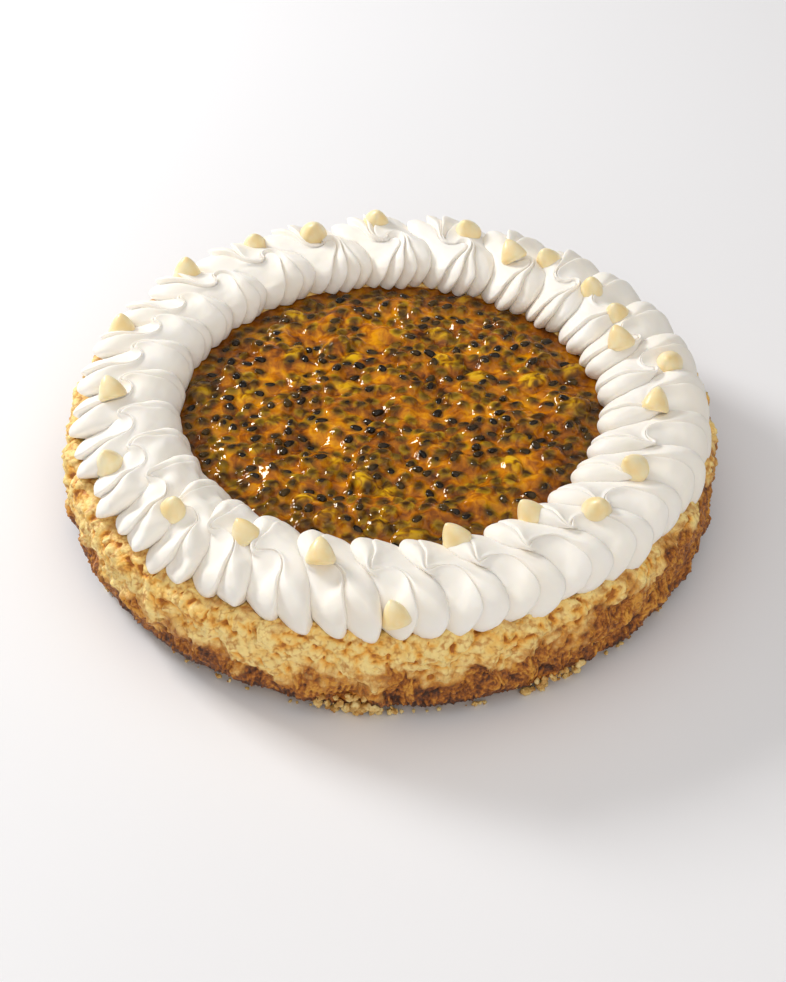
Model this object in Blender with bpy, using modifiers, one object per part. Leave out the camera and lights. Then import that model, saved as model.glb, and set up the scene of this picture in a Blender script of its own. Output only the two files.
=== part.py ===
"""A baked cheesecake with a passion fruit top, a piped cream border and white chocolate drops.

Metres, +Z up. The origin is the centre of the underside, and the front of the cake faces -Y.
"""

import math
import random

import bmesh
import bpy
from mathutils import Matrix, Vector, noise
from mathutils.bvhtree import BVHTree

MM = 0.001
GAP = 0.3 * MM

# Biscuit base: a thin pressed crumb layer, narrower than the cake at its foot.
BASE_FOOT_RADIUS = 117.0 * MM
BASE_MIDDLE_RADIUS = 119.6 * MM
BASE_TOP_RADIUS = 121.0 * MM
BASE_MIDDLE = 1.8 * MM
BASE_HEIGHT = 4.0 * MM
BASE_SEGMENTS = 64
BASE_CRAG_DEPTH = 0.5 * MM
BASE_CRAG_SIZE = 5.0 * MM
BASE_CRUMB_DEPTH = 0.4 * MM

# Baked cheesecake: the wall rolls in at the foot and is rounded at the shoulder.
CAKE_RADIUS = 125.0 * MM
CAKE_TOP = 37.7 * MM
CAKE_FOOT_ROLL = 5.5 * MM
CAKE_FOOT_INSET = 3.9 * MM
CAKE_ROLL_INSET = 1.2 * MM
CAKE_BELLY = 0.6 * MM
CAKE_SHOULDER = 5.0 * MM
CAKE_SHOULDER_INSET = 1.7 * MM
CAKE_SHOULDER_DROP = 1.5 * MM
CAKE_RIM_INSET = 5.5 * MM
CAKE_SEGMENTS = 104
CAKE_WALL_ROWS = 5
CRAG_DEPTH = 1.9 * MM
CRAG_SIZE = 9.0 * MM
CRAG_INSET = 4.5 * MM
CRUMB_DEPTH = 0.8 * MM
SHOULDER_SAG = 1.2 * MM
SHOULDER_SAG_INSET = 3.5 * MM
SHOULDER_SAG_REACH = 2.5 * MM

# Passion fruit top: a lumpy disc in a shallow recess.
TOPPING_RADIUS = 84.0 * MM
TOPPING_FLOOR = 33.0 * MM
TOPPING_LEVEL = 37.9 * MM
TOPPING_RINGS = 10
TOPPING_SEGMENTS = 36
RECESS_SEGMENTS = 56
RECESS_CLEARANCE = GAP * 1.6
PULP_HEIGHT = 2.8 * MM
PULP_SIZE = 13.0 * MM
PULP_LEVEL_RIM = 6.5 * MM
PULP_SLOPE = 9.0 * MM
PULP_BASE = 0.7
PULP_LUMP = 0.8
PULP_SMALL_LUMP = 0.35
SEED_COUNT = 76
SEED_LENGTH = 5.6 * MM
SEED_WIDTH = 4.0 * MM
SEED_SPACING = 11.0 * MM
SEED_RIM = 9.0 * MM
SEED_SPREAD = 0.12
SEED_TILT = 0.35
SEED_LIFT = 0.6 * MM

# Piped cream border: shells whose fins all fan out from an eye on the crest of the ring.
RING_RADIUS = 100.0 * MM
RING_FLOOR = 38.0 * MM
WIDTH_IN = 20.5 * MM
WIDTH_OUT = 23.2 * MM
SHELL_HEIGHT = 16.5 * MM
SHELL_EYES = (
    -146, -136, -126, -116, -103, -91, -80, -70, -59, -49, -39, -28, -17, -5, 8,
    20, 32, 44, 57, 74, 91, 106, 122, 136, 147, 157, 168, 180, 192, 203,
)
EYE_PLACE_FRONT = 0.38
EYE_PLACE_BACK = 0.52
SECTION_POINTS = 9
FOOT_TUCK = 0.34
DOME_POWER = 0.92
SHELL_CLEARANCE = GAP * 0.75
WIDTH_IN_SPREAD = 0.05
WIDTH_OUT_SPREAD = 0.04
HEIGHT_SPREAD = 0.07

# Fins: ridges with a groove between them, deepest at the feet, that lean round the ring.
FIN_PITCH_FRONT = 9.5 * MM
FIN_PITCH_BACK = 7.0 * MM
FIN_PITCH_POWER = 4
FIN_ROWS = (0.0, 0.45, 0.85)
FIN_DEPTH_CREST = 0.06
FIN_DEPTH_OUTER = 0.18
FIN_DEPTH_INNER_FRONT = 0.03
FIN_DEPTH_INNER_BACK = 0.20
FIN_DEPTH_GROWTH = 1.9
FIN_BACK_POWER = 1.8
FIN_SKEW = 0.36
SIDE_SHARPNESS = 4.0
FIN_RISE = 0.75
FIN_FALL = 0.55
TOE_START = 0.6
TOE_STRAIGHTNESS = 0.8
SHELL_DEPTH_FRONT = 0.17
SHELL_DEPTH_BACK = 0.22
SHELL_SKEW_INNER = 0.2
SHELL_ROUNDNESS = 0.75
EYE_DOWN_FRONT = 0.12
PINCH = 0.92
PINCH_REACH = 0.56
PINCH_POWER = 0.85
PINCH_AMID_POWER = 4
BULGE_OUTER = 11.5 * MM
BULGE_INNER = 6.0 * MM
BULGE_PLACE = 0.8
BULGE_LOSS_LONG = 0.5
TOE_POWER = 1.3
TOE_LEAN = 1.0 * MM
TOE_LEAN_LONG = 13.0 * MM
TOE_LEAN_INNER = 2.0 * MM
TOE_SPREAD = 0.06
TOE_SPREAD_MESSY = 2.0
TOE_END_POWER = 4
LONG_TOE = 0.06
SHORT_TOE = -0.03
LONG_ANGLE = math.radians(-108.0)
LONG_SPREAD = math.radians(24.0)
MESSY_ANGLE = math.radians(-141.0)
MESSY_SPREAD = math.radians(17.0)

# White chocolate drops: (degrees round the ring, millimetres outward of its middle).
DROP_RADIUS = 6.1 * MM
DROP_HEIGHT = 9.6 * MM
DROP_MIDDLE = 0.4
DROP_SIDES = 8
DROP_SINK = 2.7 * MM
DROP_LEAN_LEAST = 0.15
DROP_LEAN_MOST = 0.75
POCKET_CLEARANCE = GAP * 1.3
POCKET_REACH = 25.0 * MM
DROPS = (
    (137, 14), (159, 14), (-177, 6), (-158, 12), (-138, 5), (-122, -2),
    (-104, 0), (-89, 19), (-75, -13), (-55, -13), (-44, 3), (-29, 1),
    (-6, 1), (8, 9), (17, -6), (28, 2), (38, 3), (53, 7),
    (60, 0), (73, 10), (93, 11), (108, 4), (120, 13),
)
SMOOTH_ANGLE = math.radians(38.0)

for old in list(bpy.data.objects):
    bpy.data.objects.remove(old, do_unlink=True)

cake = bpy.data.collections.new("Cheesecake")
bpy.context.scene.collection.children.link(cake)
cutters = bpy.data.collections.new("Cutters")
bpy.context.scene.collection.children.link(cutters)
cutters.hide_render = True

origin = bpy.data.objects.new("cheesecake_origin", None)
cake.objects.link(origin)


def finish(name, colour, roughness):
    """A food surface with one colour."""
    material = bpy.data.materials.new(name)
    material.use_nodes = True
    shader = material.node_tree.nodes["Principled BSDF"]
    shader.inputs["Base Color"].default_value = (*colour, 1.0)
    shader.inputs["Roughness"].default_value = roughness
    shader.inputs["Metallic"].default_value = 0.0
    material.diffuse_color = (*colour, 1.0)
    return material


def add_piece(name, mesh, material, location=(0.0, 0.0, 0.0)):
    """Puts a finished mesh into the cake as one named piece."""
    mesh.materials.clear()
    mesh.materials.append(material)
    piece = bpy.data.objects.new(name, mesh)
    piece.location = location
    piece.parent = origin
    cake.objects.link(piece)
    return piece


def evaluated_mesh(source):
    """The mesh of an object with its modifiers applied."""
    bpy.context.view_layer.update()
    graph = bpy.context.evaluated_depsgraph_get()
    return bpy.data.meshes.new_from_object(source.evaluated_get(graph))


def turned(name, profile, segments):
    """A closed turned mesh from (radius, height) pairs that start and end on the axis."""
    line = bpy.data.meshes.new(name)
    points = [(radius, 0.0, height) for radius, height in profile]
    line.from_pydata(points, [(i, i + 1) for i in range(len(points) - 1)], [])
    guide = bpy.data.objects.new(name + "_guide", line)
    cutters.objects.link(guide)
    screw = guide.modifiers.new("turn", "SCREW")
    screw.steps = segments
    screw.render_steps = segments
    screw.use_merge_vertices = True
    screw.merge_threshold = 0.00001
    mesh = evaluated_mesh(guide)
    bpy.data.objects.remove(guide, do_unlink=True)
    mesh.name = name
    work = bmesh.new()
    work.from_mesh(mesh)
    bmesh.ops.recalc_face_normals(work, faces=work.faces)
    work.to_mesh(mesh)
    work.free()
    return mesh


def rough(point, size):
    """Smooth noise from about -1 to 1 that changes over the given size."""
    return noise.noise(point / size) * 1.6


def wobble_wall(mesh, depth, size, crumb, low, high, draw):
    """Pushes the wall outside the radius low and below the height high in and out in crags."""
    for vertex in mesh.vertices:
        point = vertex.co
        radius = math.hypot(point.x, point.y)
        if radius < low or point.z > high:
            continue
        push = rough(point, size) * depth + draw.uniform(-crumb, crumb)
        lean = rough(point + Vector((0.7, 0.4, 0.1)), size) * depth
        radius_new = radius + push
        angle = math.atan2(point.y, point.x) + lean / radius
        vertex.co.x = math.cos(angle) * radius_new
        vertex.co.y = math.sin(angle) * radius_new


# Biscuit base.
base_mesh = turned(
    "biscuit_base",
    (
        (0.0, 0.0),
        (BASE_FOOT_RADIUS, 0.0),
        (BASE_MIDDLE_RADIUS, BASE_MIDDLE),
        (BASE_TOP_RADIUS, BASE_HEIGHT),
        (0.0, BASE_HEIGHT),
    ),
    BASE_SEGMENTS,
)
crumb_draw = random.Random(24)
wobble_wall(
    base_mesh,
    BASE_CRAG_DEPTH,
    BASE_CRAG_SIZE,
    BASE_CRUMB_DEPTH,
    BASE_FOOT_RADIUS / 2,
    BASE_HEIGHT * 2,
    crumb_draw,
)
add_piece("biscuit_base", base_mesh, finish("Biscuit crumb", (0.235, 0.120, 0.045), 0.85))


def cake_profile():
    """The wall from the underside round the rolled foot and up to the rounded shoulder."""
    bottom = BASE_HEIGHT + GAP
    points = [(0.0, bottom), (CAKE_RADIUS - CAKE_FOOT_INSET, bottom)]
    points.append((CAKE_RADIUS - CAKE_ROLL_INSET, bottom + CAKE_FOOT_ROLL / 2))
    low = bottom + CAKE_FOOT_ROLL
    high = CAKE_TOP - CAKE_SHOULDER
    for row in range(CAKE_WALL_ROWS):
        share = row / (CAKE_WALL_ROWS - 1)
        belly = CAKE_BELLY * math.sin(math.pi * share)
        points.append((CAKE_RADIUS + belly, low + (high - low) * share))
    points.append((CAKE_RADIUS - CAKE_SHOULDER_INSET, CAKE_TOP - CAKE_SHOULDER_DROP))
    points.append((CAKE_RADIUS - CAKE_RIM_INSET, CAKE_TOP))
    points.append((0.0, CAKE_TOP))
    return points


cake_mesh = turned("cheesecake", cake_profile(), CAKE_SEGMENTS)
wobble_wall(
    cake_mesh,
    CRAG_DEPTH,
    CRAG_SIZE,
    CRUMB_DEPTH,
    CAKE_RADIUS - CRAG_INSET,
    CAKE_TOP - CAKE_SHOULDER_DROP / 2,
    crumb_draw,
)
for vertex in cake_mesh.vertices:
    reach = math.hypot(vertex.co.x, vertex.co.y)
    if reach > CAKE_RADIUS - SHOULDER_SAG_INSET and vertex.co.z > CAKE_TOP - SHOULDER_SAG_REACH:
        vertex.co.z += min(0.0, rough(vertex.co, CRAG_SIZE)) * SHOULDER_SAG
cheesecake = add_piece(
    "cheesecake", cake_mesh, finish("Baked cheesecake crumb", (0.680, 0.440, 0.140), 0.75)
)

bpy.ops.mesh.primitive_cylinder_add(
    vertices=RECESS_SEGMENTS,
    radius=TOPPING_RADIUS,
    depth=CAKE_TOP,
    location=(0.0, 0.0, TOPPING_FLOOR + CAKE_TOP / 2),
)
recess = bpy.context.object
recess.name = "topping_recess"
for home in list(recess.users_collection):
    home.objects.unlink(recess)
cutters.objects.link(recess)
recess.hide_render = True
recess.display_type = "WIRE"
cut = cheesecake.modifiers.new("topping recess", "BOOLEAN")
cut.operation = "DIFFERENCE"
cut.solver = "EXACT"
cut.object = recess


# Passion fruit top with its seeds.
def pulp_height(x, y):
    """Height of the lumpy surface, level near the rim where the cream rests over it."""
    reach = math.hypot(x, y)
    inside = min(1.0, max(0.0, (TOPPING_RADIUS - PULP_LEVEL_RIM - reach) / PULP_SLOPE))
    point = Vector((x, y, 0.0))
    lumps = PULP_BASE + rough(point, PULP_SIZE) * PULP_LUMP
    lumps += rough(point, PULP_SIZE / 2) * PULP_SMALL_LUMP
    return TOPPING_LEVEL - GAP + inside * lumps * PULP_HEIGHT


def topping_profile():
    """A flat disc whose top is ruled in rings, closer together at the rim."""
    edge = TOPPING_RADIUS - RECESS_CLEARANCE
    points = [(0.0, TOPPING_FLOOR + GAP), (edge, TOPPING_FLOOR + GAP)]
    for ring in range(TOPPING_RINGS, 0, -1):
        points.append((edge * (ring / TOPPING_RINGS) ** 0.9, TOPPING_LEVEL))
    points.append((0.0, TOPPING_LEVEL))
    return points


seed_draw = random.Random(7)


def seed_places():
    """Seeds spread evenly over the pulp by a fixed random draw, none nearer than the spacing."""
    places = []
    tries = 0
    while len(places) < SEED_COUNT and tries < 20000:
        tries += 1
        reach = (TOPPING_RADIUS - SEED_RIM) * math.sqrt(seed_draw.random())
        angle = seed_draw.uniform(0.0, math.tau)
        spot = Vector((reach * math.cos(angle), reach * math.sin(angle), 0.0))
        if all((spot - other).length > SEED_SPACING for other in places):
            places.append(spot)
    return places


topping_mesh = turned("passion_fruit_top", topping_profile(), TOPPING_SEGMENTS)
for vertex in topping_mesh.vertices:
    if vertex.co.z > (TOPPING_FLOOR + TOPPING_LEVEL) / 2:
        vertex.co.z = pulp_height(vertex.co.x, vertex.co.y)
topping = add_piece(
    "passion_fruit_top", topping_mesh, finish("Passion fruit pulp", (0.380, 0.150, 0.010), 0.18)
)

seeds = bpy.data.collections.new("Seeds")
bpy.context.scene.collection.children.link(seeds)
surface = bmesh.new()
surface.from_mesh(topping_mesh)
pulp = BVHTree.FromBMesh(surface)
surface.free()
for spot in seed_places():
    ball = bmesh.new()
    bmesh.ops.create_uvsphere(ball, u_segments=6, v_segments=3, radius=0.5)
    size = seed_draw.uniform(1.0 - SEED_SPREAD, 1.0 + SEED_SPREAD)
    shape = Matrix.Diagonal((SEED_LENGTH * size, SEED_WIDTH * size, SEED_WIDTH * size, 1.0))
    turn = Matrix.Rotation(seed_draw.uniform(0.0, math.tau), 4, "Z")
    tilt = Matrix.Rotation(seed_draw.uniform(-SEED_TILT, SEED_TILT), 4, "Y")
    above = Vector((spot.x, spot.y, TOPPING_LEVEL * 2.0))
    landed = pulp.ray_cast(above, Vector((0.0, 0.0, -1.0)))[0]
    place = Matrix.Translation(landed + Vector((0.0, 0.0, seed_draw.uniform(0.0, SEED_LIFT))))
    bmesh.ops.transform(ball, matrix=place @ turn @ tilt @ shape, verts=ball.verts)
    seed_mesh = bpy.data.meshes.new("seed")
    ball.to_mesh(seed_mesh)
    ball.free()
    seeds.objects.link(bpy.data.objects.new("seed", seed_mesh))

join = topping.modifiers.new("seeds", "BOOLEAN")
join.operation = "UNION"
join.solver = "EXACT"
join.operand_type = "COLLECTION"
join.collection = seeds
fused = evaluated_mesh(topping)
topping.modifiers.remove(join)
fused.name = "passion_fruit_top"
topping.data = fused
for seed in list(seeds.objects):
    bpy.data.objects.remove(seed, do_unlink=True)
bpy.data.collections.remove(seeds)


# Piped cream border.
def near(angle, middle, spread):
    """1 at the middle angle, falling to 0 round the ring over the spread."""
    apart = math.remainder(angle - middle, math.tau) / spread
    return math.exp(-apart * apart)


def between(first, second, share):
    """The value a share of the way from the first to the second."""
    return first + (second - first) * share


def hump(share, peak, up_power, down_power):
    """A ridge's profile: 0 in the groove at either end and 1 at the peak between them."""
    up = math.sin(0.5 * math.pi * min(1.0, share / peak)) ** up_power
    down = math.sin(0.5 * math.pi * min(1.0, (1.0 - share) / (1.0 - peak))) ** down_power
    return min(up, down)


cream_draw = random.Random(11)


def back_share(angle):
    """1 at the back of the cake and 0 at the front."""
    return 0.5 + 0.5 * math.sin(angle)


def eye_place(angle):
    """Where a shell's eye lies on it: nearer its start at the front, in its middle at the back."""
    return between(EYE_PLACE_FRONT, EYE_PLACE_BACK, back_share(angle) ** 3)


class Joint:
    """The place where one shell ends and the next begins, with the ring's section there."""

    def __init__(self, angle):
        self.angle = angle
        self.back = back_share(angle)
        self.long = near(angle, LONG_ANGLE, LONG_SPREAD)
        self.messy = near(angle, MESSY_ANGLE, MESSY_SPREAD)
        loose = 1.0 + self.messy
        self.width_in = WIDTH_IN * (1.0 + cream_draw.uniform(-WIDTH_IN_SPREAD, WIDTH_IN_SPREAD) * loose)
        self.width_out = WIDTH_OUT * (1.0 + cream_draw.uniform(-WIDTH_OUT_SPREAD, WIDTH_OUT_SPREAD) * loose)
        self.height = SHELL_HEIGHT * (1.0 + cream_draw.uniform(-HEIGHT_SPREAD, HEIGHT_SPREAD) * loose)


def ring_point(angle, outward, up, along):
    """A point measured from the middle of the ring's floor at an angle."""
    radial = Vector((math.cos(angle), math.sin(angle), 0.0))
    tangent = Vector((-math.sin(angle), math.cos(angle), 0.0))
    return radial * (RING_RADIUS + outward) + tangent * along + Vector((0.0, 0.0, RING_FLOOR + up))


def lean(down, long):
    """How far round the ring a fin runs ahead on the outer side and behind on the inner one."""
    reach = abs(down)
    swing = math.sin(math.pi * reach**BULGE_PLACE)
    if down < 0.0:
        return -TOE_LEAN_INNER * reach**TOE_POWER - BULGE_INNER * swing
    toe = between(TOE_LEAN, TOE_LEAN_LONG, long)
    return toe * reach**TOE_POWER + BULGE_OUTER * (1.0 - BULGE_LOSS_LONG * long) * swing


def shell_point(start, end, share, fins, toes, down):
    """A point of a shell: share runs from 0 to 1 round the ring, and down from the inner foot
    at -1 over the crest at 0 to the outer foot at 1.
    """
    turn = down * (0.5 * math.pi + FOOT_TUCK)
    foot = math.sin(FOOT_TUCK)
    across = math.sin(turn)
    rise = max(0.0, (math.cos(turn) + foot) / (1.0 + foot)) ** DOME_POWER
    back = between(start.back, end.back, share)
    from_eye = down - EYE_DOWN_FRONT * (1.0 - back)
    side = math.tanh(SIDE_SHARPNESS * from_eye)
    amid = 1.0 - abs(2.0 * share - 1.0) ** PINCH_AMID_POWER
    fin = min(fins - 1, int(share * fins))
    straight = TOE_STRAIGHTNESS * max(0.0, abs(down) - TOE_START) / (1.0 - TOE_START)
    ridge = hump(share * fins - fin, 0.5 + FIN_SKEW * side * (1.0 - straight), FIN_RISE, FIN_FALL)
    inner_depth = between(FIN_DEPTH_INNER_FRONT, FIN_DEPTH_INNER_BACK, back**FIN_BACK_POWER)
    foot_depth = FIN_DEPTH_OUTER if from_eye > 0.0 else inner_depth
    depth = between(FIN_DEPTH_CREST, foot_depth, min(1.0, abs(from_eye) * FIN_DEPTH_GROWTH))
    shell_skew = (FIN_SKEW if from_eye > 0.0 else SHELL_SKEW_INNER) * side * (1.0 - back)
    swell = hump(share, 0.5 + shell_skew, SHELL_ROUNDNESS, SHELL_ROUNDNESS)
    size = 1.0 - between(SHELL_DEPTH_FRONT, SHELL_DEPTH_BACK, back) * (1.0 - swell)
    size *= 1.0 - depth * (1.0 - ridge)
    size += toes[fin] * max(0.0, down) ** TOE_END_POWER * ridge
    width = between(start.width_out, end.width_out, share)
    if down < 0.0:
        width = between(start.width_in, end.width_in, share)
    height = between(start.height, end.height, share)
    pinch = PINCH * (1.0 - min(1.0, abs(from_eye) / PINCH_REACH) ** PINCH_POWER) * amid
    angle = between(start.angle, end.angle, between(share, eye_place(start.angle), pinch))
    shift = SHELL_CLEARANCE * (1.0 - 2.0 * share)
    along = lean(down, between(start.long, end.long, share)) * size + shift
    return ring_point(angle, width * across * size, height * rise * size, along)


def shell_rows(start, end):
    """Rows of points over a shell, a few to each fin, from one joint to the next."""
    nearness = between(start.back, end.back, 0.5) ** FIN_PITCH_POWER
    pitch = between(FIN_PITCH_FRONT, FIN_PITCH_BACK, nearness)
    fins = max(2, round((end.angle - start.angle) * RING_RADIUS / pitch))
    long = between(start.long, end.long, 0.5)
    messy = between(start.messy, end.messy, 0.5)
    toes = []
    for fin in range(fins):
        toe = cream_draw.uniform(-1.0, 1.0) * TOE_SPREAD * (1.0 + TOE_SPREAD_MESSY * messy)
        toes.append(toe + long * (LONG_TOE if fin % 2 == 0 else SHORT_TOE))
    shares = [(fin + part) / fins for fin in range(fins) for part in FIN_ROWS] + [1.0]
    downs = [2.0 * spot / (SECTION_POINTS - 1) - 1.0 for spot in range(SECTION_POINTS)]
    return [[shell_point(start, end, share, fins, toes, down) for down in downs] for share in shares]


def shell_mesh(name, start, end):
    """One shell: its rows, a fan at each end on the joint's cone and a flat underside."""
    rows = shell_rows(start, end)
    points = [point for row in rows for point in row]
    count = SECTION_POINTS
    faces = []
    for line in range(len(rows) - 1):
        for spot in range(count - 1):
            here = line * count + spot
            faces.append((here, here + 1, here + count + 1, here + count))
    points.append(ring_point(start.angle, 0.0, 0.0, SHELL_CLEARANCE))
    points.append(ring_point(end.angle, 0.0, 0.0, -SHELL_CLEARANCE))
    first, last = len(points) - 2, len(points) - 1
    final = (len(rows) - 1) * count
    for spot in range(count - 1):
        faces.append((first, spot, spot + 1))
        faces.append((last, final + spot, final + spot + 1))
    inner_feet = [line * count for line in range(len(rows))]
    outer_feet = [line * count + count - 1 for line in range(len(rows))]
    faces.append(tuple(inner_feet + [last] + outer_feet[::-1] + [first]))
    middle = ring_point((start.angle + end.angle) / 2.0, 0.0, 0.0, 0.0)
    mesh = bpy.data.meshes.new(name)
    mesh.from_pydata([point - middle for point in points], [], faces)
    work = bmesh.new()
    work.from_mesh(mesh)
    bmesh.ops.recalc_face_normals(work, faces=work.faces)
    work.to_mesh(mesh)
    work.free()
    return mesh, middle


joints = []
for number, eye in enumerate(SHELL_EYES):
    before = SHELL_EYES[number - 1] - (360 if number == 0 else 0)
    place = eye_place(math.radians(eye))
    joints.append(Joint(math.radians(eye - place * (eye - before))))
cream = finish("Whipped cream", (0.86, 0.83, 0.79), 0.55)
shells = []
for number, start in enumerate(joints):
    end = joints[(number + 1) % len(joints)]
    around = math.tau if number == len(joints) - 1 else 0.0
    end.angle += around
    mesh, middle = shell_mesh(f"cream_shell_{number + 1:02d}", start, end)
    end.angle -= around
    shells.append(add_piece(mesh.name, mesh, cream, middle))


# White chocolate drops, each in a pocket of the cream.
def drop_mesh(name, grow):
    """A small domed drop with a flat foot and a blunt tip."""
    shape = ((0.0, 0.0), (0.88, 0.0), (0.97, 0.26), (0.48, 0.72), (0.0, 1.0))
    profile = [
        (radius * (DROP_RADIUS + grow), (height - DROP_MIDDLE) * (DROP_HEIGHT + 2.0 * grow))
        for radius, height in shape
    ]
    profile[0] = (0.0, profile[0][1])
    profile[-1] = (0.0, profile[-1][1])
    return turned(name, profile, DROP_SIDES)


chocolate = finish("White chocolate", (0.86, 0.68, 0.36), 0.40)
drop_draw = random.Random(4)
border = bmesh.new()
for shell in shells:
    shape = shell.data.copy()
    shape.transform(Matrix.Translation(shell.location))
    border.from_mesh(shape)
    bpy.data.meshes.remove(shape)
crest = BVHTree.FromBMesh(border)
border.free()
drop_shape = drop_mesh("white_chocolate_drop", 0.0)
pocket_shape = drop_mesh("drop_pocket", POCKET_CLEARANCE)
for number, (degrees, outward) in enumerate(DROPS):
    angle = math.radians(degrees)
    landed = crest.ray_cast(ring_point(angle, outward * MM, 0.1, 0.0), Vector((0.0, 0.0, -1.0)))[0]
    place = landed + Vector((0.0, 0.0, DROP_HEIGHT * DROP_MIDDLE - DROP_SINK))
    tip = drop_draw.uniform(DROP_LEAN_LEAST, DROP_LEAN_MOST)
    toward = drop_draw.uniform(0.0, math.tau)
    turn = (tip * math.cos(toward), tip * math.sin(toward), drop_draw.uniform(0.0, math.tau))
    drop = add_piece(f"white_chocolate_{number + 1:02d}", drop_shape.copy(), chocolate, place)
    drop.rotation_euler = turn
    pocket = bpy.data.objects.new(f"drop_pocket_{number + 1:02d}", pocket_shape)
    pocket.location = place
    pocket.rotation_euler = turn
    pocket.hide_render = True
    pocket.display_type = "WIRE"
    cutters.objects.link(pocket)
    for shell in shells:
        middle = math.atan2(shell.location.y, shell.location.x)
        apart = math.remainder(angle - middle, math.tau) * RING_RADIUS
        if abs(apart) < POCKET_REACH:
            hole = shell.modifiers.new("drop pocket", "BOOLEAN")
            hole.operation = "DIFFERENCE"
            hole.solver = "EXACT"
            hole.object = pocket

for piece in cake.objects:
    if piece.type == "MESH" and piece.name.startswith(("cream", "white", "passion")):
        piece.data.shade_smooth()
        piece.data.set_sharp_from_angle(angle=SMOOTH_ANGLE)
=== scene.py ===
"""A baked cheesecake with a passion fruit top, a piped cream border and white chocolate drops.

Metres, +Z up. The origin is the middle of the underside, and the front of the cake faces -Y.
"""

import math
import random

import bmesh
import bpy
import numpy as np
from mathutils import Euler, Matrix, Vector, noise


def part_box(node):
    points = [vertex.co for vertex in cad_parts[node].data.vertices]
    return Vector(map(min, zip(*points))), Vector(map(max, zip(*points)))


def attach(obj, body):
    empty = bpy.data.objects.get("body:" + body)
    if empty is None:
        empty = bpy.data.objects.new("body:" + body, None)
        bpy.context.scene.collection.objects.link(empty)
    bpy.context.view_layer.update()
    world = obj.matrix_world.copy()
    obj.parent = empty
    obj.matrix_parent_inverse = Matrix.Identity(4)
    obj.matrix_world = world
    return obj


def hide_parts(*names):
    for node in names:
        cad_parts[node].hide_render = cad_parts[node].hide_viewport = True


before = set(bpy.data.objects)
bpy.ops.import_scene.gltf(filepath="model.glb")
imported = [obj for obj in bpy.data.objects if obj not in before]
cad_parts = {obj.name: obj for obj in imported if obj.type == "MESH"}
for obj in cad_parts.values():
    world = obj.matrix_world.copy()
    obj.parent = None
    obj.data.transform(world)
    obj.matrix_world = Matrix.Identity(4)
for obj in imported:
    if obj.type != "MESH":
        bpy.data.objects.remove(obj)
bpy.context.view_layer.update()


# Biscuit base: crushed digestive biscuit bound with butter, pressed into the tin by hand and
# baked under the cake. Only its crumbly edge shows, as a thin beige line at the foot of the wall.
MM = 0.001


def linear(colour):
    """The linear colour of an sRGB hex value such as "C8A060"."""
    parts = [int(colour[i:i + 2], 16) / 255.0 for i in (0, 2, 4)]
    shades = [c / 12.92 if c <= 0.04045 else ((c + 0.055) / 1.055) ** 2.4 for c in parts]
    return (*shades, 1.0)


def add_node(tree, kind, inputs=None, stops=(), **settings):
    """A node of a material's tree with its settings, and a value or a socket for each input.

    The stops of a colour ramp are places from 0 to 1, each with a hex colour.
    """
    new = tree.nodes.new(kind)
    for number, (place, colour) in enumerate(stops):
        if number > 1:
            new.color_ramp.elements.new(1.0)
        new.color_ramp.elements[number].position = place
        new.color_ramp.elements[number].color = linear(colour)
    for name, value in settings.items():
        setattr(new, name, value)
    for name, value in (inputs or {}).items():
        if isinstance(value, bpy.types.NodeSocket):
            tree.links.new(value, new.inputs[name])
        else:
            new.inputs[name].default_value = value
    return new


def start_material(name):
    """A new material's tree, with its surface shader."""
    material = bpy.data.materials.new(name)
    material.use_nodes = True
    tree = material.node_tree
    return material, tree, tree.nodes["Principled BSDF"]


def rough(point, size):
    """Smooth noise from about -1 to 1 that changes over the given size."""
    return noise.noise(point / size) * 1.6


# Noise read at this distance from a point says nothing about the noise at the point itself.
ELSEWHERE = Vector((0.7, 0.4, 0.1))


def dress(name, mesh, material, slot, *nodes):
    """Puts a finished mesh on the cake as one smooth piece that stands for the named nodes."""
    mesh.materials.clear()
    mesh.materials.append(material)
    mesh.shade_smooth()
    piece = bpy.data.objects.new(name, mesh)
    bpy.context.scene.collection.objects.link(piece)
    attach(piece, "root")
    if nodes:
        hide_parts(*nodes)
    return piece


def turned_wall(name, profile, segments, push):
    """A closed turned mesh from (radius, height, out, up) on its axis and back to it.

    Each point is pushed along its own direction, out and up, by the relief at its place.
    """
    angles = [math.tau * step / segments for step in range(segments)]
    points = []
    faces = []
    for radius, height, out, up in profile[1:-1]:
        for angle in angles:
            spot = Vector((radius * math.cos(angle), radius * math.sin(angle), height))
            depth, slip = push(spot, angle) if out or up else (0.0, 0.0)
            reach = radius + depth * out
            turn = angle + slip / radius
            points.append((reach * math.cos(turn), reach * math.sin(turn), height + depth * up))
    rows = len(profile) - 2
    for row in range(rows - 1):
        for step in range(segments):
            here, beside = row * segments + step, row * segments + (step + 1) % segments
            faces.append((here, beside, beside + segments, here + segments))
    ends = (len(points), len(points) + 1)
    points += [(0.0, 0.0, profile[0][1]), (0.0, 0.0, profile[-1][1])]
    for step in range(segments):
        beside = (step + 1) % segments
        faces.append((ends[0], beside, step))
        last = (rows - 1) * segments
        faces.append((ends[1], last + step, last + beside))
    mesh = bpy.data.meshes.new(name)
    mesh.from_pydata(points, [], faces)
    return mesh


BASE_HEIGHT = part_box("biscuit_base")[1].z
BASE_FOOT = 117.0 * MM
BASE_TOP = 121.0 * MM
BASE_INNER = BASE_FOOT - 2.0 * MM
BASE_MIDDLE = 60.0 * MM
BASE_ROWS = 8
BASE_SEGMENTS = 900
BISCUIT_CRUMB = 1.3 * MM
BISCUIT_DEPTH = 0.9 * MM
BISCUIT_WAVE = 5.0 * MM


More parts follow.
